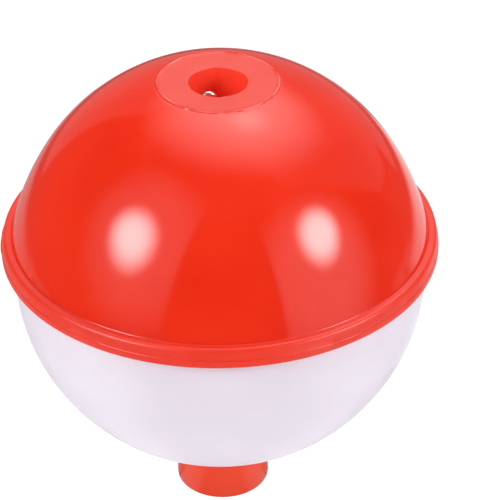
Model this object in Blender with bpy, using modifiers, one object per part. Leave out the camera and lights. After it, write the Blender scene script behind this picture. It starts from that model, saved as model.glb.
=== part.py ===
"""A round push-button fishing float: two hollow shells, a push button, a line wire and its spring.

Metres, +Z up. The origin is the middle of the button's flat end, and the float's axis is Z.
"""

import math

import bpy
from mathutils import Vector

# Outside
HEIGHT = 0.055
RIM_RADIUS = 0.0254
RIM_BOTTOM = 0.0336
RIM_PARTING = 0.0345
RIM_TOP = 0.0359
RIM_CHAMFER = 0.00025
GROOVE_DEPTH = 0.00015
GROOVE_WIDTH = 0.0002
BALL_RADIUS = 0.02405
UPPER_CENTRE = 0.032
LOWER_CENTRE = 0.031

# Shell walls
WALL = 0.0012
GAP = 0.0003
SKIRT_RADIUS = 0.0242
SHOULDER = 0.0352
CROWN_UNDERSIDE = 0.0536
LIP_OUTER = 0.022
LIP_INNER = 0.0211
LIP_TOP = 0.0366
LIP_ROOT = 0.0332

# Line wire
WIRE_RADIUS = 0.0003
BEND_RADIUS = 0.0007
HOOK_TOP = 0.0539
HOOK_BOTTOM = 0.0009
HOOK_LEAN = 0.0004
HOOK_TURN = math.radians(12)

# Recess in the crown, and the neck below it
RECESS_RADIUS = 0.00333
RECESS_FLOOR = 0.0495
KEYWAY_RADIUS = 0.0014
KEYWAY_CENTRE = 0.002
CUP_RADIUS = 0.0046
CUP_BOTTOM = 0.048
NECK_RADIUS = 0.0034
NECK_BORE = 0.002
NECK_TOP = 0.0468
NECK_BOTTOM = 0.033
WEB_HOLE = WIRE_RADIUS + GAP

# Spring cup of the upper shell, in the guide tube of the lower shell
GUIDE_TOP = 0.029
COLLAR_TOP = 0.0305
SPRING_CUP_RADIUS = 0.0055
SPRING_CUP_BORE = 0.0043
SPRING_CUP_BOTTOM = 0.0245
SPRING_SHOULDER = 0.03

# Push button and the tube that guides it
BUTTON_RADIUS = 0.00555
BUTTON_TOP = 0.0132
BUTTON_EDGE = 0.00045
BUTTON_CORNER = 0.00013
BUTTON_RECESS = 0.0028
BUTTON_WEB_BOTTOM = 0.0042
BUTTON_WEB_TOP = 0.0062
GUIDE_BORE = BUTTON_RADIUS + GAP
GUIDE_RADIUS = GUIDE_BORE + WALL

# Return spring
COIL_RADIUS = 0.0036
COIL_WIRE = 0.0003
ACTIVE_TURNS = 6
CLOSED_TURNS = 1
CLOSED_PITCH = 0.00075

# Smoothness
SHELL_STEPS = 60
BUTTON_STEPS = 40
DOME_POINTS = 13
BOWL_POINTS = 17
KEYWAY_SIDES = 24
BEND_POINTS = 7
TURN_POINTS = 12


def clear_scene():
    for obj in list(bpy.data.objects):
        bpy.data.objects.remove(obj, do_unlink=True)


def new_collection(name, hidden=False):
    collection = bpy.data.collections.new(name)
    bpy.context.scene.collection.children.link(collection)
    collection.hide_render = hidden
    return collection


def material(name, colour, roughness, metallic=0.0):
    made = bpy.data.materials.new(name)
    made.use_nodes = True
    shader = made.node_tree.nodes["Principled BSDF"]
    shader.inputs["Base Color"].default_value = (*colour, 1.0)
    shader.inputs["Roughness"].default_value = roughness
    shader.inputs["Metallic"].default_value = metallic
    made.diffuse_color = (*colour, 1.0)
    return made


def sphere_height(radius, centre, across):
    """How far above its centre's height a ball of this radius reaches at this distance from the axis."""
    return centre + math.sqrt(radius**2 - across**2)


def sphere_across(radius, centre, height):
    return math.sqrt(radius**2 - (height - centre) ** 2)


def arc(radius, centre, start, end, count=DOME_POINTS):
    """(distance from the axis, height) along a ball's outline, between two heights of its right half."""
    first = math.asin((start - centre) / radius)
    last = math.asin((end - centre) / radius)
    angles = [first + (last - first) * i / (count - 1) for i in range(count)]
    return [(radius * math.cos(a), centre + radius * math.sin(a)) for a in angles]


def turned(name, profile, steps, collection, finish):
    """A closed (distance, height) profile turned about Z, given down its outer side first."""
    mesh = bpy.data.meshes.new(name)
    points = [(across, 0.0, height) for across, height in profile]
    edges = [(i, (i + 1) % len(points)) for i in range(len(points))]
    mesh.from_pydata(points, edges, [])
    obj = bpy.data.objects.new(name, mesh)
    collection.objects.link(obj)
    screw = obj.modifiers.new("Turn", "SCREW")
    screw.axis = "Z"
    screw.steps = steps
    screw.render_steps = steps
    screw.use_merge_vertices = True
    screw.merge_threshold = 0.00001
    screw.use_smooth_shade = True
    mesh.materials.append(finish)
    return obj


def wire(name, points, radius, collection, finish):
    curve = bpy.data.curves.new(name, "CURVE")
    curve.dimensions = "3D"
    curve.bevel_depth = radius
    curve.bevel_resolution = 2
    curve.use_fill_caps = True
    spline = curve.splines.new("POLY")
    spline.points.add(len(points) - 1)
    for target, point in zip(spline.points, points):
        target.co = (*point, 1.0)
    obj = bpy.data.objects.new(name, curve)
    collection.objects.link(obj)
    curve.materials.append(finish)
    return obj


def upper_shell(collection, cutters, finish):
    """Red half: dome, rim, crown recess for the hook, wire neck and spring cup, moulded in one."""
    inner = BALL_RADIUS - WALL
    crown = sphere_across(BALL_RADIUS, UPPER_CENTRE, HEIGHT)
    dome = arc(BALL_RADIUS, UPPER_CENTRE, HEIGHT, RIM_TOP)
    rim = [
        (RIM_RADIUS - RIM_CHAMFER, RIM_TOP),
        (RIM_RADIUS, RIM_TOP - RIM_CHAMFER),
        (RIM_RADIUS, RIM_PARTING + GROOVE_WIDTH / 2),
        (RIM_RADIUS - GROOVE_DEPTH, RIM_PARTING),
        (RIM_RADIUS, RIM_PARTING - GROOVE_WIDTH / 2),
        (RIM_RADIUS, RIM_BOTTOM + RIM_CHAMFER),
        (RIM_RADIUS - RIM_CHAMFER, RIM_BOTTOM),
        (SKIRT_RADIUS, RIM_BOTTOM),
        (SKIRT_RADIUS, SHOULDER),
    ]
    inside = arc(inner, UPPER_CENTRE, SHOULDER, CROWN_UNDERSIDE)
    cup = [
        (CUP_RADIUS, CROWN_UNDERSIDE),
        (CUP_RADIUS, CUP_BOTTOM),
        (NECK_RADIUS, NECK_TOP),
        (NECK_RADIUS, NECK_BOTTOM),
        (GUIDE_RADIUS, COLLAR_TOP),
        (GUIDE_RADIUS, GUIDE_TOP + GAP),
        (SPRING_CUP_RADIUS, GUIDE_TOP + GAP),
        (SPRING_CUP_RADIUS, SPRING_CUP_BOTTOM),
    ]
    bore = [
        (SPRING_CUP_BORE, SPRING_CUP_BOTTOM),
        (SPRING_CUP_BORE, SPRING_SHOULDER),
        (NECK_BORE, SPRING_SHOULDER),
        (NECK_BORE, CUP_BOTTOM),
        (WEB_HOLE, CUP_BOTTOM),
        (WEB_HOLE, RECESS_FLOOR),
        (RECESS_RADIUS, RECESS_FLOOR),
        (RECESS_RADIUS, HEIGHT),
    ]
    face = [((RECESS_RADIUS + crown) / 2, HEIGHT)]
    shell = turned("upper_shell", face + dome + rim + inside + cup + bore, SHELL_STEPS, collection, finish)
    for side in (-1, 1):
        cut_keyway(shell, side, cutters)
    return shell


def cut_keyway(shell, side, cutters):
    """One of two shallow grooves down opposite sides of the hook recess."""
    depth = HEIGHT - RECESS_FLOOR - GAP
    bpy.ops.mesh.primitive_cylinder_add(
        vertices=KEYWAY_SIDES,
        radius=KEYWAY_RADIUS,
        depth=2 * depth,
        location=(0, side * KEYWAY_CENTRE, HEIGHT),
    )
    cutter = bpy.context.object
    cutter.name = f"keyway_cutter_{'front' if side < 0 else 'back'}"
    for owner in list(cutter.users_collection):
        owner.objects.unlink(cutter)
    cutters.objects.link(cutter)
    cutter.hide_render = True
    cutter.display_type = "WIRE"
    cut = shell.modifiers.new("Keyway", "BOOLEAN")
    cut.operation = "DIFFERENCE"
    cut.solver = "EXACT"
    cut.object = cutter


def lower_shell(collection, finish):
    """White half: bowl with a locating lip inside the red rim, and the tube that guides the button."""
    inner = BALL_RADIUS - WALL
    seat = SHOULDER - GAP
    pole_hole = 2 * LOWER_CENTRE - sphere_height(BALL_RADIUS, LOWER_CENTRE, GUIDE_BORE)
    tube_root = 2 * LOWER_CENTRE - sphere_height(inner, LOWER_CENTRE, GUIDE_RADIUS)
    lip = [(LIP_INNER, LIP_TOP), (LIP_OUTER, LIP_TOP), (LIP_OUTER, seat)]
    bowl = arc(BALL_RADIUS, LOWER_CENTRE, seat, pole_hole, BOWL_POINTS)
    tube = [(GUIDE_BORE, GUIDE_TOP), (GUIDE_RADIUS, GUIDE_TOP)]
    inside = arc(inner, LOWER_CENTRE, tube_root, LOWER_CENTRE)
    root = [(LIP_INNER, LIP_ROOT)]
    return turned("lower_shell", lip + bowl + tube + inside + root, SHELL_STEPS, collection, finish)


def push_button(collection, finish):
    """Red plunger: a tube closed by a web that the wire passes through, open below round the small hook."""
    profile = [
        (SPRING_CUP_BORE, BUTTON_TOP),
        (BUTTON_RADIUS - BUTTON_EDGE / 2, BUTTON_TOP),
        (BUTTON_RADIUS, BUTTON_TOP - BUTTON_EDGE / 2),
        (BUTTON_RADIUS, BUTTON_EDGE),
        (BUTTON_RADIUS - BUTTON_CORNER, BUTTON_CORNER),
        (BUTTON_RADIUS - BUTTON_EDGE, 0.0),
        (BUTTON_RECESS, 0.0),
        (BUTTON_RECESS, BUTTON_WEB_BOTTOM),
        (WEB_HOLE, BUTTON_WEB_BOTTOM),
        (WEB_HOLE, BUTTON_WEB_TOP),
        (SPRING_CUP_BORE, BUTTON_WEB_TOP),
    ]
    return turned("push_button", profile, BUTTON_STEPS, collection, finish)


def bend(centre_across, centre_height, start, end):
    """(distance, height) round a hook's bend, between two angles in degrees."""
    angles = [math.radians(start + (end - start) * i / (BEND_POINTS - 1)) for i in range(BEND_POINTS)]
    return [
        (centre_across + BEND_RADIUS * math.cos(a), centre_height + BEND_RADIUS * math.sin(a))
        for a in angles
    ]


def line_wire(collection, finish):
    """One wire with a hook at each end. Each tip bears on a web, so the spring holds both hooks in."""
    low_centre = HOOK_BOTTOM + WIRE_RADIUS + BEND_RADIUS
    high_centre = HOOK_TOP - WIRE_RADIUS - BEND_RADIUS
    low_tip = BUTTON_WEB_BOTTOM - GAP
    high_tip = RECESS_FLOOR + GAP
    low_hook = [(-2 * BEND_RADIUS, low_tip)] + bend(-BEND_RADIUS, low_centre, 180, 360)
    stem = [(0.0, RECESS_FLOOR)]
    high_hook = bend(HOOK_LEAN + BEND_RADIUS, high_centre, 180, 0)
    high_hook.append((HOOK_LEAN + 2 * BEND_RADIUS, high_tip))
    across, along = -math.cos(HOOK_TURN), -math.sin(HOOK_TURN)
    route = [Vector((x * across, x * along, z)) for x, z in low_hook + stem + high_hook]
    return wire("line_wire", route, WIRE_RADIUS, collection, finish)


def return_spring(collection, finish):
    """Compression spring with closed ends, from the button's web to the spring cup's shoulder."""
    bottom = BUTTON_WEB_TOP + GAP + COIL_WIRE
    top = SPRING_SHOULDER - GAP - COIL_WIRE
    active_pitch = (top - bottom - 2 * CLOSED_TURNS * CLOSED_PITCH) / ACTIVE_TURNS
    route = []
    height = bottom
    turns = ACTIVE_TURNS + 2 * CLOSED_TURNS
    for i in range(turns * TURN_POINTS + 1):
        angle = 2 * math.pi * i / TURN_POINTS
        route.append(Vector((COIL_RADIUS * math.cos(angle), COIL_RADIUS * math.sin(angle), height)))
        turn = i // TURN_POINTS
        closed = turn < CLOSED_TURNS or turn >= turns - CLOSED_TURNS
        height += (CLOSED_PITCH if closed else active_pitch) / TURN_POINTS
    return wire("return_spring", route, COIL_WIRE, collection, finish)


def add_joint_origins(wire_obj, button):
    """The wire and the button slide along Z: each hangs from an empty on that axis."""
    for obj, name, height in ((wire_obj, "wire_slide", RECESS_FLOOR), (button, "button_slide", 0.0)):
        empty = bpy.data.objects.new(name, None)
        empty.location = (0.0, 0.0, height)
        bpy.context.scene.collection.objects.link(empty)
        bpy.context.view_layer.update()
        obj.parent = empty
        obj.matrix_parent_inverse = empty.matrix_world.inverted()


def main():
    clear_scene()
    parts = new_collection("bobber_float")
    cutters = new_collection("cutters", hidden=True)
    red = material("red_plastic", (0.87, 0.05, 0.015), 0.22)
    white = material("white_plastic", (0.84, 0.80, 0.85), 0.35)
    steel = material("wire_steel", (0.62, 0.6, 0.57), 0.25, metallic=1.0)
    spring_steel = material("spring_steel", (0.45, 0.45, 0.46), 0.35, metallic=1.0)
    upper_shell(parts, cutters, red)
    lower_shell(parts, white)
    button = push_button(parts, red)
    wire_obj = line_wire(parts, steel)
    return_spring(parts, spring_steel)
    add_joint_origins(wire_obj, button)


main()
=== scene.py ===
"""Looks for the push-button fishing float: shells, button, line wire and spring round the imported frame."""

import math

import bmesh
import bpy
from mathutils import Matrix, Vector

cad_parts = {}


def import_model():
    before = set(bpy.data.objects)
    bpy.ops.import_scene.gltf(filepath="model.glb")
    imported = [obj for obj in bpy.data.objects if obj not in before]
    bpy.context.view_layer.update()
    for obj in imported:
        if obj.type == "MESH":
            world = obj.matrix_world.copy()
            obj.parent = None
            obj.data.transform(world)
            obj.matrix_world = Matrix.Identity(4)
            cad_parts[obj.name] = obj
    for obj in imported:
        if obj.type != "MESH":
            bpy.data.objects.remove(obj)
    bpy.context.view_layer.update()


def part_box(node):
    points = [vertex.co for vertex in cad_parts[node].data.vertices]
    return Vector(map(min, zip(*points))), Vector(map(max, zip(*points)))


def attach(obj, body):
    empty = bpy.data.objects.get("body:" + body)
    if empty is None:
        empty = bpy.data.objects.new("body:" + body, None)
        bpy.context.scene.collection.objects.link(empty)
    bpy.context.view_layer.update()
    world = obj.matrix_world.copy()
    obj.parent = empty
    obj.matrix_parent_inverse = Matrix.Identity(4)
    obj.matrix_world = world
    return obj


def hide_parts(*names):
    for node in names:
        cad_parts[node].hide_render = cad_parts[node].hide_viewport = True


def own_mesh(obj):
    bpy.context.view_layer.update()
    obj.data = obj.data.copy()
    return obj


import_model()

# Driving dimensions, read from the frame
SHELL_LOW, SHELL_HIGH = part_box("upper_shell")
BOWL_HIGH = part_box("lower_shell")[1]
BUTTON_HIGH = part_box("push_button")[1]
WIRE_LOW, WIRE_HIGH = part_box("line_wire")
SPRING_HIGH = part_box("return_spring")[1]

HEIGHT = SHELL_HIGH[2]
RIM_RADIUS = SHELL_HIGH[0]
BALL_RADIUS = BOWL_HIGH[0]
BUTTON_RADIUS = BUTTON_HIGH[0]
BUTTON_TOP = BUTTON_HIGH[2]
LIP_TOP = BOWL_HIGH[2]
SPRING_CUP_BOTTOM = SHELL_LOW[2]

# The rim and the balls, as the CAD has them
RIM_BOTTOM = 0.0336
RIM_PARTING = 0.0345
RIM_TOP = 0.0359
UPPER_CENTRE = 0.032
LOWER_CENTRE = 0.031
WALL = 0.0012
SHOULDER = 0.0352
LIP_INNER = 0.0211
LIP_OUTER = 0.022
LIP_ROOT = 0.0332

# Gaps between the pieces, closer here than in the CAD
SEAT = 0.0350
SHELL_GAP = 0.00008
GUIDE_GAP = 0.00005
BUTTON_GAP = 0.00022

# The dome's fuller foot, which the CAD leaves out, and the rim's softer top edge
DOME_FILL = 0.0005
DOME_FILL_SPAN = 0.009
RIM_EASE = 0.0003
RIM_DROP = 0.00005

# Recess, neck and spring cup
RECESS_RADIUS = 0.00333
RECESS_FLOOR = 0.0495
RECESS_DRAFT = 0.0005
KEYWAY_RADIUS = 0.0014
KEYWAY_CENTRE = 0.002
KEYWAY_REACH = 0.0006
CUP_RADIUS = 0.0046
CUP_BOTTOM = 0.048
CROWN_UNDERSIDE = 0.0536
NECK_RADIUS = 0.0034
NECK_BORE = 0.002
NECK_TOP = 0.0468
NECK_BOTTOM = 0.033
WEB_HOLE = 0.0005
GUIDE_TOP = 0.029
COLLAR_TOP = 0.0305
SPRING_CUP_RADIUS = 0.0055
SPRING_CUP_BORE = 0.0043
SPRING_SHOULDER = 0.03
GUIDE_BORE = BUTTON_RADIUS + BUTTON_GAP
GUIDE_RADIUS = BUTTON_RADIUS + 0.0015

# Witness line round the crown, and parting line round the rim
CROWN_RADIUS = 0.0069
RIDGE_WIDTH = 0.00018
RIDGE_HEIGHT = 0.00013
RIDGE_FALL = 0.00003
GROOVE_START = 0.00007
GROOVE_END = 0.00016
GROOVE_WIDTH = 0.0003
GROOVE_DEPTH = 0.00003
RIDGE_SWAY = 0.00008
RIDGE_REACH = 0.6
FACE_DIP = 0.00001
PARTING_NOTCH = 0.00010
PARTING_SPAN = 0.00012
PARTING_FLASH = 0.000132

# Rounded edges
HOLE_EDGE = 0.00008
CRISP_EDGE = 0.0001
RECESS_EDGE = 0.00012
BUTTON_RECESS_EDGE = 0.00015
POLE_EDGE = 0.00018
FINE_EDGE = 0.0002
RIM_FOOT_EDGE = 0.00022
DOME_FOOT_EDGE = 0.00025
SOFT_EDGE = 0.0003
CUP_EDGE = 0.0004
BUTTON_END_EDGE = 0.00055
BROAD_EDGE = 0.0006

# Button
BUTTON_RECESS = 0.0028
BUTTON_WEB_BOTTOM = 0.0042
BUTTON_WEB_TOP = 0.0062

# Wire
WIRE_RADIUS = 0.0003
BEND_RADIUS = 0.0007
HOOK_LEAN = 0.0004
HOOK_TURN = math.radians(12)
WEB_GAP = 0.00005
STEM_STEPS = 30
LEAN_STEPS = 8

# Spring
COIL_RADIUS = SPRING_HIGH[0] - WIRE_RADIUS
ACTIVE_TURNS = 6
CLOSED_PITCH = 0.00075
COIL_STEPS = 40

# Turned pieces and wires
STEPS = 240
BUTTON_STEPS = 144
TURNED_SHARP = math.radians(38)
WIRE_SHARP = math.radians(50)

# Materials, the red shell's five slots, and how near a row has to be to its face to take its slot
GLOSS_IOR = 1.58
RED_SCATTER = (0.002, 0.0004, 0.0002)
SATIN_SCATTER = (0.0015, 0.0004, 0.0002)
MILKY_SCATTER = (0.004, 0.0032, 0.004)
# The last slot holds a painted highlight: the crown's ridge is painted pale to look lit
GLOSS, CROWN, RIM, RECESS, RIDGE_HIGHLIGHT = range(5)
NEAR_ACROSS = 0.0002
NEAR_HEIGHT = 0.0001

# Camera
CAMERA_PLACE = (0.0, -0.257718, 0.19983)
CAMERA_PITCH = math.radians(33.0)
CAMERA_YAW = math.radians(0.683)
CAMERA_ROLL = math.radians(-0.368)
CAMERA_LENS = 189.4

# Studio
FLOAT_MIDDLE = Vector((0.0, 0.0, 0.032))
PANEL_DISTANCE = 0.6
ROOM_RADIUS = 2.6
TABLE_GLOW = 1.05
TABLE_PAPER = (0.08, 0.08, 0.08)
TABLE_GAP = 0.0001
PATCH_RADIUS = 0.17
SECTOR_STEP = 4
SOFT_STEPS = 4
SOFT_ANGLE = 4
SOFT_REACH = 0.08
SOFT_LIFT = 0.00005
SOFT_DROP = 0.02
RING_INNER = 0.012
RING_OUTER = 0.034
RING_GLOW = 1.95
RING_STEPS = 90
WORLD_GLOW = 0.11

# Corners of two glowing sheets, as directions from the float (azimuth, elevation) in degrees
WINDOW = ((116, 6), (98, 27), (64, 54), (100, 80), (180, 70), (180, 2), (130, 2))
FAR_WALL = ((140, -9), (140, 40), (180, 50), (-140, 40), (-140, -9))

# Glowing sectors of the table: name, first and last azimuth in degrees, radius, radiance
TABLE_CARDS = (
    ("table_under", 100, 260, 0.03, 0.6),
    ("table_near_left", -85, -37, 0.03, 0.5),
    ("table_near_right", 37, 85, 0.03, 0.5),
    ("table_front_left", -85, -37, PATCH_RADIUS / 2, 0.8),
    ("table_front_right", 37, 85, PATCH_RADIUS / 2, 0.8),
    ("table_tip_left", -102, -84, 0.145, 0.85),
    ("table_tip_right", 84, 102, 0.165, 0.85),
    ("table_tail_left", -112, -98, 0.17, 0.85),
    ("table_tail_right", 98, 112, 0.2, 0.8),
    ("table_behind", 166, 194, 0.15, 1.1),
    ("table_left", -180, -108, PATCH_RADIUS, 0.43),
    ("table_right", 108, 180, PATCH_RADIUS, 0.87),
)


# ---------------------------------------------------------------- outlines

def ball_height(radius, centre, across):
    """The height at which a ball's upper half is this far from the axis."""
    return centre + math.sqrt(radius**2 - across**2)


def arc(radius, centre, start, end, count):
    """Corners (distance, height, fillet) along a ball's outline between two heights."""
    first = math.asin((start - centre) / radius)
    last = math.asin((end - centre) / radius)
    angles = [first + (last - first) * i / (count - 1) for i in range(count)]
    return [(radius * math.cos(a), centre + radius * math.sin(a), 0.0) for a in angles]


def fillet(before, corner, after, radius, pieces=5):
    """Points that round one corner of an outline."""
    here = Vector(corner)
    to_before = Vector(before) - here
    to_after = Vector(after) - here
    turn = to_before.angle(to_after)
    reach = radius / math.tan(turn / 2)
    reach = min(reach, 0.49 * to_before.length, 0.49 * to_after.length)
    start = here + to_before.normalized() * reach
    end = here + to_after.normalized() * reach
    points = []
    for i in range(pieces + 1):
        t = i / pieces
        points.append(start.lerp(here, t).lerp(here.lerp(end, t), t))
    return [tuple(p) for p in points]


def rounded(corners):
    """An outline's points, with each corner (distance, height, fillet) rounded by its own fillet."""
    points = []
    for i, (across, height, radius) in enumerate(corners):
        if radius <= 0:
            points.append((across, height))
            continue
        before = corners[i - 1][:2]
        after = corners[(i + 1) % len(corners)][:2]
        points += fillet(before, (across, height), after, radius)
    return points


def wobble(angle, seed):
    """A smooth uneven value from 0 to 1 round the float."""
    total = 0.0
    for n, (turns, weight) in enumerate(((3, 1.0), (7, 0.8), (13, 0.7), (29, 0.5), (47, 0.3))):
        total += weight * math.sin(turns * angle + seed * (n + 1) * 1.7 + n * n)
    return min(1.0, max(0.0, 0.5 + total / 3.6))


def turned(name, outline, material_of=None, shape=None, steps=STEPS):
    """Turns a closed outline about Z. shape(distance, height, angle) moves a point as it goes round."""
    count = len(outline)
    verts = []
    for i in range(steps):
        angle = 2 * math.pi * i / steps
        for across, height in outline:
            if shape:
                across, height = shape(across, height, angle)
            verts.append((across * math.cos(angle), across * math.sin(angle), height))
    faces = []
    rows = []
    for i in range(steps):
        k = (i + 1) % steps
        for j in range(count):
            m = (j + 1) % count
            faces.append((i * count + m, k * count + m, k * count + j, i * count + j))
            rows.append(j)
    mesh = bpy.data.meshes.new(name)
    mesh.from_pydata(verts, [], faces)
    if material_of:
        for face, row in zip(mesh.polygons, rows):
            face.material_index = material_of(row)
    mesh.shade_smooth()
    mesh.set_sharp_from_angle(angle=TURNED_SHARP)
    piece = bpy.data.objects.new(name, mesh)
    bpy.context.scene.collection.objects.link(piece)
    return piece


def tube(name, route, radius, sides=4):
    """A round wire along a list of points, as a mesh with closed ends."""
    curve = bpy.data.curves.new(name, "CURVE")
    curve.dimensions = "3D"
    curve.bevel_depth = radius
    curve.bevel_resolution = sides
    curve.use_fill_caps = True
    spline = curve.splines.new("POLY")
    spline.points.add(len(route) - 1)
    for target, point in zip(spline.points, route):
        target.co = (*point, 1.0)
    holder = bpy.data.objects.new(name + "_route", curve)
    bpy.context.scene.collection.objects.link(holder)
    graph = bpy.context.evaluated_depsgraph_get()
    mesh = bpy.data.meshes.new_from_object(holder.evaluated_get(graph))
    mesh.name = name
    bpy.data.objects.remove(holder)
    piece = bpy.data.objects.new(name, mesh)
    bpy.context.scene.collection.objects.link(piece)
    mesh.shade_smooth()
    mesh.set_sharp_from_angle(angle=WIRE_SHARP)
    return piece


# ---------------------------------------------------------------- materials

class Nodes:
    """A short way to wire a Principled material."""

    def __init__(self, name):
        self.material = bpy.data.materials.new(name)
        self.material.use_nodes = True
        self.tree = self.material.node_tree
        self.shader = self.tree.nodes["Principled BSDF"]
        coordinates = self.tree.nodes.new("ShaderNodeTexCoord")
        self.place = coordinates.outputs["Object"]

    def set(self, **values):
        for key, value in values.items():
            self.shader.inputs[key.replace("_", " ")].default_value = value

    def node(self, kind, **settings):
        made = self.tree.nodes.new(kind)
        for key, value in settings.items():
            setattr(made, key, value)
        return made

    def link(self, source, target):
        self.tree.links.new(source, target)

    def stretched(self, scale):
        mapping = self.node("ShaderNodeMapping")
        mapping.inputs["Scale"].default_value = scale
        self.link(self.place, mapping.inputs["Vector"])
        return mapping.outputs["Vector"]

    def noise(self, scale, detail=3.0, roughness=0.5, place=None):
        made = self.node("ShaderNodeTexNoise")
        made.inputs["Scale"].default_value = scale
        made.inputs["Detail"].default_value = detail
        made.inputs["Roughness"].default_value = roughness
        self.link(place or self.place, made.inputs["Vector"])
        return made.outputs["Fac"]

    def spread(self, value, low, high, to_low, to_high):
        made = self.node("ShaderNodeMapRange")
        for key, number in zip(("From Min", "From Max", "To Min", "To Max"), (low, high, to_low, to_high)):
            made.inputs[key].default_value = number
        self.link(value, made.inputs["Value"])
        return made.outputs["Result"]

    def two_colours(self, factor, first, second):
        made = self.node("ShaderNodeMix", data_type="RGBA")
        made.inputs["A"].default_value = (*first, 1.0)
        made.inputs["B"].default_value = (*second, 1.0)
        self.link(factor, made.inputs["Factor"])
        return made.outputs["Result"]

    def bumps(self, layers):
        """Stacks (height, strength, distance in metres) bumps into the shader's normal."""
        last = None
        for height, strength, distance in layers:
            bump = self.node("ShaderNodeBump")
            bump.inputs["Strength"].default_value = strength
            bump.inputs["Distance"].default_value = distance
            self.link(height, bump.inputs["Height"])
            if last:
                self.link(last, bump.inputs["Normal"])
            last = bump.outputs["Normal"]
        self.link(last, self.shader.inputs["Normal"])


def moulded(name, light, deep, roughness, see_into, scatter):
    """Gloss moulded plastic: faint cloudy colour, uneven gloss, orange peel and hairline scuffs."""
    m = Nodes(name)
    cloud = m.spread(m.noise(90, 4), 0.35, 0.65, 0.0, 1.0)
    m.link(m.two_colours(cloud, deep, light), m.shader.inputs["Base Color"])
    patches = m.noise(260, 3)
    m.link(m.spread(patches, 0.3, 0.7, roughness * 0.88, roughness * 1.12), m.shader.inputs["Roughness"])
    peel = m.noise(700, 2)
    scuffs = m.noise(1500, 2, place=m.stretched((1.0, 0.35, 0.08)))
    m.bumps([(peel, 0.25, 0.000012), (scuffs, 0.12, 0.000006)])
    m.set(IOR=GLOSS_IOR, Subsurface_Weight=see_into, Subsurface_Radius=scatter, Subsurface_Scale=1.0)
    return m.material


def satin_face(name, light, deep, roughness):
    """A flat moulded face left duller than the rest, with a fine grain."""
    m = Nodes(name)
    cloud = m.spread(m.noise(300, 4), 0.35, 0.65, 0.0, 1.0)
    m.link(m.two_colours(cloud, deep, light), m.shader.inputs["Base Color"])
    patches = m.noise(900, 3)
    m.link(m.spread(patches, 0.3, 0.7, roughness * 0.9, roughness * 1.1), m.shader.inputs["Roughness"])
    grain = m.noise(5200, 3)
    m.bumps([(grain, 0.5, 0.00002)])
    m.set(IOR=GLOSS_IOR, Subsurface_Weight=0.1, Subsurface_Radius=SATIN_SCATTER, Subsurface_Scale=1.0)
    return m.material


def drawn_wire(name, bright, dull, roughness):
    """Drawn steel: fine lines along the wire and slightly tarnished patches."""
    m = Nodes(name)
    tarnish = m.spread(m.noise(900, 3), 0.4, 0.62, 0.0, 1.0)
    m.link(m.two_colours(tarnish, bright, dull), m.shader.inputs["Base Color"])
    patches = m.noise(2500, 2)
    m.link(m.spread(patches, 0.3, 0.7, roughness * 0.8, roughness * 1.25), m.shader.inputs["Roughness"])
    lines = m.noise(9000, 2, place=m.stretched((1.0, 1.0, 0.04)))
    m.bumps([(lines, 0.3, 0.000008)])
    m.set(Metallic=1.0)
    return m.material


# ---------------------------------------------------------------- pieces

def keyway(across, angle):
    """The recess wall's distance from the axis: a round bore with a shallow groove front and back."""
    off = abs(math.sin(angle))
    side = abs(math.cos(angle))
    inside = KEYWAY_RADIUS**2 - (KEYWAY_CENTRE * side) ** 2
    if inside <= 0:
        return across
    return max(across, KEYWAY_CENTRE * off + math.sqrt(inside) + across - RECESS_RADIUS)


def dome_fill(height):
    """How much further out than the ball the dome stands, most of it just above the rim."""
    return DOME_FILL * max(0.0, 1 - (height - RIM_TOP) / DOME_FILL_SPAN) ** 2


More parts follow.
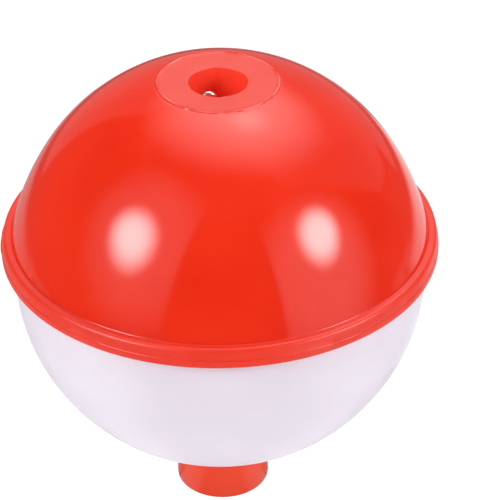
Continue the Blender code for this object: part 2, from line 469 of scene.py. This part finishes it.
def red_outline():
    """The red shell's outline: crown, dome and rim outside, then the bowl, cup, neck and recess inside."""
    dome_start = ball_height(BALL_RADIUS, UPPER_CENTRE, CROWN_RADIUS + GROOVE_WIDTH)
    face = [
        (RECESS_RADIUS, HEIGHT - 2 * FACE_DIP, RECESS_EDGE),
        ((RECESS_RADIUS + CROWN_RADIUS) / 2, HEIGHT - FACE_DIP, 0.0),
        (CROWN_RADIUS - 3 * RIDGE_WIDTH, HEIGHT - FACE_DIP, 0.0),
        (CROWN_RADIUS - RIDGE_WIDTH, HEIGHT - FACE_DIP, 0.0),
    ]
    ridge = [
        (CROWN_RADIUS - RIDGE_WIDTH / 2, HEIGHT, 0.0),
        (CROWN_RADIUS, HEIGHT, 0.0),
        (CROWN_RADIUS + RIDGE_FALL, HEIGHT - FACE_DIP, 0.0),
        (CROWN_RADIUS + GROOVE_START, HEIGHT - GROOVE_DEPTH, 0.0),
        (CROWN_RADIUS + GROOVE_END, HEIGHT - 2 * GROOVE_DEPTH, 0.0),
    ]
    dome = [
        (across + dome_fill(height), height, radius)
        for across, height, radius in arc(BALL_RADIUS, UPPER_CENTRE, dome_start, RIM_TOP, 90)
    ]
    across, height, _ = dome.pop()
    dome.append((across, height, DOME_FOOT_EDGE))
    rim = [
        (RIM_RADIUS - RIM_EASE, RIM_TOP - RIM_DROP, BROAD_EDGE),
        (RIM_RADIUS - PARTING_NOTCH * 0.4, RIM_PARTING + PARTING_SPAN, 0.0),
        (RIM_RADIUS - PARTING_NOTCH, RIM_PARTING + PARTING_SPAN / 3, 0.0),
        (RIM_RADIUS - PARTING_NOTCH / 2, RIM_PARTING, 0.0),
        (RIM_RADIUS, RIM_PARTING - PARTING_SPAN, 0.0),
        (RIM_RADIUS, RIM_BOTTOM, RIM_FOOT_EDGE),
        (BALL_RADIUS + SHELL_GAP, RIM_BOTTOM, CRISP_EDGE),
        (BALL_RADIUS + SHELL_GAP, SHOULDER, 0.0),
    ]
    inside = arc(BALL_RADIUS - WALL, UPPER_CENTRE, SHOULDER, CROWN_UNDERSIDE, 30)
    cup = [
        (CUP_RADIUS, CROWN_UNDERSIDE, CUP_EDGE),
        (CUP_RADIUS, CUP_BOTTOM, SOFT_EDGE),
        (NECK_RADIUS, NECK_TOP, SOFT_EDGE),
        (NECK_RADIUS, NECK_BOTTOM, SOFT_EDGE),
        (GUIDE_RADIUS, COLLAR_TOP, FINE_EDGE),
        (GUIDE_RADIUS, GUIDE_TOP + GUIDE_GAP, 0.0),
        (SPRING_CUP_RADIUS, GUIDE_TOP + GUIDE_GAP, 0.0),
        (SPRING_CUP_RADIUS, SPRING_CUP_BOTTOM, FINE_EDGE),
        (SPRING_CUP_BORE, SPRING_CUP_BOTTOM, FINE_EDGE),
        (SPRING_CUP_BORE, SPRING_SHOULDER, FINE_EDGE),
        (NECK_BORE, SPRING_SHOULDER, FINE_EDGE),
        (NECK_BORE, CUP_BOTTOM, 0.0),
        (WEB_HOLE, CUP_BOTTOM, HOLE_EDGE),
        (WEB_HOLE, RECESS_FLOOR, HOLE_EDGE),
        (RECESS_RADIUS - RECESS_DRAFT, RECESS_FLOOR, BROAD_EDGE),
    ]
    depth = HEIGHT - RECESS_FLOOR
    side = [
        (RECESS_RADIUS - RECESS_DRAFT * (1 - t), RECESS_FLOOR + depth * t, 0.0)
        for t in (0.25, 0.5, 0.75)
    ]
    return rounded(face + ridge + dome + rim + inside + cup + side)


def red_unevenness(across, height, angle):
    """Cuts the keyways, and makes the crown's witness line and the rim's parting line uneven."""
    if WEB_HOLE * 3 < across < RECESS_RADIUS + KEYWAY_REACH and height > RECESS_FLOOR - FACE_DIP:
        across = keyway(across, angle)
    near = abs(across - CROWN_RADIUS) / RIDGE_WIDTH
    if near < RIDGE_REACH and height > HEIGHT - RIDGE_WIDTH:
        height += RIDGE_HEIGHT * (0.25 + 0.75 * wobble(angle, 1.3)) * (1 - near)
        across += RIDGE_SWAY * (wobble(angle, 4.1) - 0.5)
    if abs(height - RIM_PARTING) < PARTING_SPAN / 2 and across > BALL_RADIUS + SHELL_GAP:
        across += PARTING_FLASH * wobble(angle, 2.7) ** 3
    return across, height


def red_shell(*materials):
    """The red upper half. The materials come in the order of its slots."""
    outline = red_outline()
    crown_low = HEIGHT - 2 * GROOVE_DEPTH

    def material_of(row):
        across, height = zip(outline[row], outline[(row + 1) % len(outline)])
        # Rows on the crown's ridge take the painted highlight
        if abs(sum(across) / 2 - CROWN_RADIUS) < RIDGE_WIDTH / 2 and min(height) > crown_low:
            return RIDGE_HIGHLIGHT
        # Crown rows take the duller red, whose paler tone is partly painted sheen
        if min(height) > crown_low and max(across) < CROWN_RADIUS:
            return CROWN
        if min(across) > BALL_RADIUS + NEAR_ACROSS and max(height) < RIM_TOP + NEAR_HEIGHT:
            return RIM
        # Recess rows take a red painted lighter, as painted light against the recess's shade
        if max(across) < RECESS_RADIUS + NEAR_ACROSS and min(height) > RECESS_FLOOR - NEAR_HEIGHT:
            return RECESS
        return GLOSS

    piece = turned("red_shell", outline, material_of, red_unevenness)
    for made in materials:
        piece.data.materials.append(made)
    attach(piece, "float_body")
    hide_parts("upper_shell")
    return piece


def white_shell(plastic):
    """The white lower half, with its locating lip and the button's guide tube."""
    inner = BALL_RADIUS - WALL
    pole_hole = 2 * LOWER_CENTRE - ball_height(BALL_RADIUS, LOWER_CENTRE, GUIDE_BORE)
    tube_root = 2 * LOWER_CENTRE - ball_height(inner, LOWER_CENTRE, GUIDE_RADIUS)
    bowl = arc(BALL_RADIUS, LOWER_CENTRE, SEAT, pole_hole, 100)
    across, height, _ = bowl.pop()
    bowl.append((across, height, POLE_EDGE))
    outline = rounded(
        [(LIP_INNER, LIP_TOP, FINE_EDGE), (LIP_OUTER, LIP_TOP, FINE_EDGE), (LIP_OUTER, SEAT, 0.0)]
        + bowl
        + [(GUIDE_BORE, GUIDE_TOP, CRISP_EDGE), (GUIDE_RADIUS, GUIDE_TOP, CRISP_EDGE)]
        + arc(inner, LOWER_CENTRE, tube_root, LOWER_CENTRE, 30)
        + [(LIP_INNER, LIP_ROOT, SOFT_EDGE)]
    )
    piece = turned("white_shell", outline)
    piece.data.materials.append(plastic)
    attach(piece, "float_body")
    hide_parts("lower_shell")
    return piece


def button_cap(plastic, face):
    """The button: a tube with a web across it, and the wire's hole through the web."""
    outline = rounded(
        [
            (SPRING_CUP_BORE, BUTTON_TOP, CRISP_EDGE),
            (BUTTON_RADIUS, BUTTON_TOP, SOFT_EDGE),
            (BUTTON_RADIUS, 0.0, BUTTON_END_EDGE),
            (BUTTON_RECESS, 0.0, BUTTON_RECESS_EDGE),
            (BUTTON_RECESS, BUTTON_WEB_BOTTOM, SOFT_EDGE),
            (WEB_HOLE, BUTTON_WEB_BOTTOM, HOLE_EDGE),
            (WEB_HOLE, BUTTON_WEB_TOP, HOLE_EDGE),
            (SPRING_CUP_BORE, BUTTON_WEB_TOP, SOFT_EDGE),
        ]
    )

    def material_of(row):
        return int(max(outline[row][1], outline[(row + 1) % len(outline)][1]) < FACE_DIP)

    piece = turned("button_cap", outline, material_of, steps=BUTTON_STEPS)
    piece.data.materials.append(plastic)
    piece.data.materials.append(face)
    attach(piece, "button")
    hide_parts("push_button")
    return piece


def bend(centre_across, centre_height, start, end, count=15):
    """Points round one bend of the wire, between two angles in degrees."""
    angles = [math.radians(start + (end - start) * i / (count - 1)) for i in range(count)]
    return [
        (centre_across + BEND_RADIUS * math.cos(a), centre_height + BEND_RADIUS * math.sin(a))
        for a in angles
    ]


def hook_wire(steel):
    """One wire from the tip of the lower hook, up the stem, to the tip of the upper hook."""
    low_centre = WIRE_LOW[2] + WIRE_RADIUS + BEND_RADIUS
    high_centre = WIRE_HIGH[2] - WIRE_RADIUS - BEND_RADIUS
    route = [(-2 * BEND_RADIUS, BUTTON_WEB_BOTTOM - WEB_GAP)]
    route += bend(-BEND_RADIUS, low_centre, 180, 360)
    stem = RECESS_FLOOR - low_centre
    route += [(0.0, low_centre + stem * i / STEM_STEPS) for i in range(1, STEM_STEPS + 1)]
    for i in range(1, LEAN_STEPS):
        t = i / LEAN_STEPS
        route.append((HOOK_LEAN * t * t * (3 - 2 * t), RECESS_FLOOR + (high_centre - RECESS_FLOOR) * t))
    route += bend(HOOK_LEAN + BEND_RADIUS, high_centre, 180, 0)
    route.append((HOOK_LEAN + 2 * BEND_RADIUS, RECESS_FLOOR + WEB_GAP))
    across, along = -math.cos(HOOK_TURN), -math.sin(HOOK_TURN)
    piece = tube("hook_wire", [(x * across, x * along, z) for x, z in route], WIRE_RADIUS, sides=6)
    piece.data.materials.append(steel)
    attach(piece, "wire")
    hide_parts("line_wire")
    return piece


def coil_height(turn, low, high):
    """Height of the coil's centre line after so many turns, with one closed turn at each end."""
    pitch = (high - low - 2 * CLOSED_PITCH) / ACTIVE_TURNS
    if turn <= 1:
        return low + CLOSED_PITCH * turn
    if turn >= 1 + ACTIVE_TURNS:
        return high - CLOSED_PITCH * (2 + ACTIVE_TURNS - turn)
    return low + CLOSED_PITCH + pitch * (turn - 1)


def spring_half(name, first, last, low, high, steel):
    """A stretch of the coil between two counts of turns."""
    count = int((last - first) * COIL_STEPS)
    route = []
    for i in range(count + 1):
        turn = first + (last - first) * i / count
        angle = 2 * math.pi * turn
        height = coil_height(turn, low, high)
        route.append((COIL_RADIUS * math.cos(angle), COIL_RADIUS * math.sin(angle), height))
    piece = tube(name, route, WIRE_RADIUS)
    piece.data.materials.append(steel)
    return piece


def springs(steel):
    """The one spring in two halves, because it shortens with both slides."""
    low = BUTTON_WEB_TOP + WIRE_RADIUS + WEB_GAP
    high = SPRING_SHOULDER - WIRE_RADIUS - WEB_GAP
    turns = ACTIVE_TURNS + 2
    middle = turns / 2
    upper = spring_half("spring_upper", middle, turns, low, high, steel)
    lower = spring_half("spring_lower", 0, middle, low, high, steel)
    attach(upper, "float_body")
    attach(lower, "wire")
    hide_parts("return_spring")
    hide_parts("return_spring")
    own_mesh(upper)
    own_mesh(lower)


# ---------------------------------------------------------------- stage, light and camera

def towards(azimuth, elevation):
    """The unit vector from the float: azimuth from the camera's side, positive to the right, in degrees."""
    turn, rise = math.radians(azimuth), math.radians(elevation)
    return Vector((math.cos(rise) * math.sin(turn), -math.cos(rise) * math.cos(turn), math.sin(rise)))


def lit_sheet(name, mesh, radiance, base=(0.0, 0.0, 0.0)):
    """A matt sheet that glows by itself, for the table, the backdrop and the cards."""
    made = bpy.data.materials.new(name)
    made.use_nodes = True
    shader = made.node_tree.nodes["Principled BSDF"]
    shader.inputs["Base Color"].default_value = (*base, 1.0)
    shader.inputs["Roughness"].default_value = 0.9
    shader.inputs["Specular IOR Level"].default_value = 0.0
    shader.inputs["Emission Color"].default_value = (1.0, 1.0, 1.0, 1.0)
    shader.inputs["Emission Strength"].default_value = radiance
    made.cycles.emission_sampling = "NONE"
    mesh.materials.append(made)
    sheet = bpy.data.objects.new(name, mesh)
    bpy.context.scene.collection.objects.link(sheet)
    return sheet


def table_sector(name, radius, height=0.0, start=-180, end=180):
    """A flat part of a disc round the axis, between two directions (azimuths from the camera's side)."""
    count = math.ceil((end - start) / SECTOR_STEP)
    rim = [radius * towards(start + (end - start) * i / count, 0) for i in range(count + 1)]
    mesh = bpy.data.meshes.new(name)
    mesh.from_pydata([(p.x, p.y, height) for p in (Vector(), *rim)], [], [range(count + 2)])
    return mesh


def table():
    """A pale table that glows by itself, so that shadows on it stay faint. The gloss doesn't show it."""
    sheet = lit_sheet("table", table_sector("table", ROOM_RADIUS, -TABLE_GAP), TABLE_GLOW, TABLE_PAPER)
    sheet.visible_glossy = False


def backdrop():
    """A pale surround that only the camera sees."""
    mesh = bpy.data.meshes.new("backdrop")
    grown = bmesh.new()
    bmesh.ops.create_uvsphere(grown, u_segments=64, v_segments=32, radius=ROOM_RADIUS)
    grown.to_mesh(mesh)
    grown.free()
    sheet = lit_sheet("backdrop", mesh, 1.0)
    sheet.visible_diffuse = False
    sheet.visible_glossy = False
    sheet.visible_transmission = False
    sheet.visible_shadow = False


def glow(lamp, centre, core, fade):
    """Full strength out to the core distance from a point of the lamp, then a soft fall to none at fade."""
    lamp.use_nodes = True
    tree = lamp.node_tree
    place = tree.nodes.new("ShaderNodeNewGeometry")
    shift = tree.nodes.new("ShaderNodeVectorMath")
    shift.operation = "SUBTRACT"
    shift.inputs[1].default_value = (*centre, 0.0)
    scale = tree.nodes.new("ShaderNodeVectorMath")
    scale.operation = "MULTIPLY"
    scale.inputs[1].default_value = (lamp.size, lamp.size_y, 0.0)
    length = tree.nodes.new("ShaderNodeVectorMath")
    length.operation = "LENGTH"
    fall = tree.nodes.new("ShaderNodeMapRange")
    fall.interpolation_type = "SMOOTHSTEP"
    for key, number in zip(("From Min", "From Max", "To Min", "To Max"), (core, fade, 1.0, 0.0)):
        fall.inputs[key].default_value = number
    tree.links.new(place.outputs["Parametric"], shift.inputs[0])
    tree.links.new(shift.outputs["Vector"], scale.inputs[0])
    tree.links.new(scale.outputs["Vector"], length.inputs[0])
    tree.links.new(length.outputs["Value"], fall.inputs["Value"])
    tree.links.new(fall.outputs["Result"], tree.nodes["Emission"].inputs["Strength"])


def panel(
    name, azimuth, elevation, radiance, core, fade, left=None, right=None, down=None, up=None, shows=True
):
    """A soft lamp that faces the float, brightest at one direction. All are angles that the float sees.

    It reaches fade degrees out from that direction, or less on a side that is given. One that doesn't show
    lights the float, and stays out of its gloss.
    """
    reach = {
        side: math.tan(math.radians(given or fade)) * PANEL_DISTANCE
        for side, given in (("left", left), ("right", right), ("down", down), ("up", up))
    }
    lamp = bpy.data.lights.new(name, "AREA")
    lamp.shape = "RECTANGLE"
    lamp.size = reach["left"] + reach["right"]
    lamp.size_y = reach["down"] + reach["up"]
    lamp.energy = radiance * math.pi * lamp.size * lamp.size_y
    bright = (reach["left"] / lamp.size, reach["down"] / lamp.size_y)
    glow(lamp, bright, *(PANEL_DISTANCE * math.tan(math.radians(a)) for a in (core, fade)))
    holder = bpy.data.objects.new(name, lamp)
    bpy.context.scene.collection.objects.link(holder)
    out = towards(azimuth, elevation)
    turn = (-out).to_track_quat("-Z", "Y")
    offset = Vector((reach["right"] - reach["left"], reach["up"] - reach["down"], 0.0)) / 2
    holder.location = FLOAT_MIDDLE + PANEL_DISTANCE * out + turn @ offset
    holder.rotation_euler = turn.to_euler()
    holder.visible_camera = False
    holder.visible_glossy = shows


def card(name, mesh, radiance):
    """A glowing sheet that only the float's gloss shows."""
    sheet = lit_sheet(name, mesh, radiance)
    sheet.visible_camera = False
    sheet.visible_diffuse = False
    sheet.visible_transmission = False
    sheet.visible_shadow = False


def soft_card(name, start, end, radius, radiance):
    """A sector of the table that glows in the float's gloss, with edges that fade in steps."""
    for step in range(1, SOFT_STEPS + 1):
        spread = (SOFT_STEPS + 1) / 2 - step
        first = max(start - SOFT_ANGLE * spread, min(start, -180))
        last = min(end + SOFT_ANGLE * spread, max(end, 180))
        reach = radius * (1 + SOFT_REACH * spread)
        height = SOFT_LIFT * step - SOFT_DROP * radius
        layer = f"{name}_{step}"
        card(layer, table_sector(layer, reach, height, first, last), radiance * step / SOFT_STEPS)


def table_ring():
    """A glowing ring that lights the white half from below. Neither the camera nor the gloss sees it."""
    count = RING_STEPS
    angles = [2 * math.pi * i / count for i in range(count)]
    height = -TABLE_GAP / 2
    verts = [(r * math.cos(a), r * math.sin(a), height) for r in (RING_INNER, RING_OUTER) for a in angles]
    faces = [(i, (i + 1) % count, count + (i + 1) % count, count + i) for i in range(count)]
    mesh = bpy.data.meshes.new("table_ring")
    mesh.from_pydata(verts, [], faces)
    ring = lit_sheet("table_ring", mesh, RING_GLOW)
    ring.visible_camera = False
    ring.visible_glossy = False


def wall(name, directions, distance):
    """A flat-sided sheet through points in these directions (azimuth, elevation) from the float."""
    mesh = bpy.data.meshes.new(name)
    corners = [FLOAT_MIDDLE + distance * towards(*direction) for direction in directions]
    mesh.from_pydata(corners, [], [range(len(corners))])
    return mesh


def lamps():
    """Two small bright lamps with their halos, and soft light from above and behind."""
    panel("left_core", -57, 29, 10.6, core=5, fade=17.5)
    panel("right_core", 64, 26, 10.6, core=5, fade=15.5)
    panel("left_halo", -50, 30, 0.7, core=16, fade=42, right=23, up=37)
    panel("right_halo", 56, 14, 0.9, core=14, fade=40, left=24)
    panel("overhead", 162, 65, 2.6, core=0, fade=42)
    panel("overhead_spot", 149, 65.5, 1.5, core=0, fade=12)
    panel("behind", 180, 35, 1.4, core=0, fade=50, shows=False)


def cards():
    """The glowing sheets that stand for the studio's window, ceiling, far wall and table in the gloss."""
    card("window", wall("window", WINDOW, 1.5), 0.3)
    card("ceiling", table_sector("ceiling", 1.2, 1.5), 0.17)
    card("far_wall", wall("far_wall", FAR_WALL, 2.4), 0.3)
    for name, start, end, radius, radiance in TABLE_CARDS:
        soft_card(name, start, end, radius, radiance)


def world():
    """Even white light from all round, and plain colours in the picture."""
    studio = bpy.data.worlds.new("studio")
    studio.use_nodes = True
    background = studio.node_tree.nodes["Background"]
    background.inputs["Color"].default_value = (1.0, 1.0, 1.0, 1.0)
    background.inputs["Strength"].default_value = WORLD_GLOW
    bpy.context.scene.world = studio
    bpy.context.scene.view_settings.view_transform = "Standard"


def camera():
    """The camera that was fitted to the photo's outlines."""
    lens = bpy.data.cameras.new("camera")
    lens.lens = CAMERA_LENS
    lens.sensor_width = 36.0
    holder = bpy.data.objects.new("camera", lens)
    bpy.context.scene.collection.objects.link(holder)
    flat = math.cos(CAMERA_PITCH)
    forward = Vector((math.sin(CAMERA_YAW) * flat, math.cos(CAMERA_YAW) * flat, -math.sin(CAMERA_PITCH)))
    right = Vector((math.cos(CAMERA_YAW), -math.sin(CAMERA_YAW), 0.0))
    up = right.cross(forward)
    turned_right = math.cos(CAMERA_ROLL) * right + math.sin(CAMERA_ROLL) * up
    turned_up = -math.sin(CAMERA_ROLL) * right + math.cos(CAMERA_ROLL) * up
    holder.matrix_world = Matrix.Translation(CAMERA_PLACE) @ Matrix(
        (turned_right, turned_up, -forward)
    ).transposed().to_4x4()
    bpy.context.scene.camera = holder


camera()
table()
backdrop()
lamps()
cards()
table_ring()
world()

red = moulded("red_gloss", (0.83, 0.026, 0.004), (0.78, 0.020, 0.003), 0.1, 0.08, RED_SCATTER)
# The crown is a duller face of the same red; its paler, pinker colour is partly painted sheen from the light
# above
crown_red_and_sheen = satin_face("red_crown_and_painted_sheen", (0.77, 0.047, 0.024), (0.74, 0.041, 0.020), 0.42)
# Painted highlight: the ridge round the crown is painted pale where it should catch the light
ridge_highlight = satin_face("red_ridge_painted_highlight", (0.95, 0.24, 0.19), (0.78, 0.035, 0.02), 0.42)
rim_red = satin_face("red_rim", (0.84, 0.029, 0.006), (0.80, 0.023, 0.004), 0.38)
# Painted light: the recess is painted lighter than the red plastic, for light that comes through the shell
# into it
recess_painted_light = satin_face("red_recess_painted_light", (0.98, 0.070, 0.030), (0.96, 0.058, 0.024), 0.4)
button_red = moulded("button_red", (0.71, 0.046, 0.012), (0.67, 0.038, 0.009), 0.24, 0.08, RED_SCATTER)
button_end = satin_face("button_end", (0.80, 0.05, 0.02), (0.76, 0.04, 0.016), 0.4)
white = moulded("white_milky", (0.80, 0.72, 0.825), (0.77, 0.69, 0.80), 0.33, 0.3, MILKY_SCATTER)
bright_steel = drawn_wire("bright_wire", (0.80, 0.77, 0.72), (0.62, 0.58, 0.52), 0.18)
spring_grey = drawn_wire("spring_wire", (0.56, 0.56, 0.57), (0.42, 0.42, 0.43), 0.32)

red_shell(red, crown_red_and_sheen, rim_red, recess_painted_light, ridge_highlight)
white_shell(white)
button_cap(button_red, button_end)
hook_wire(bright_steel)
springs(spring_grey)
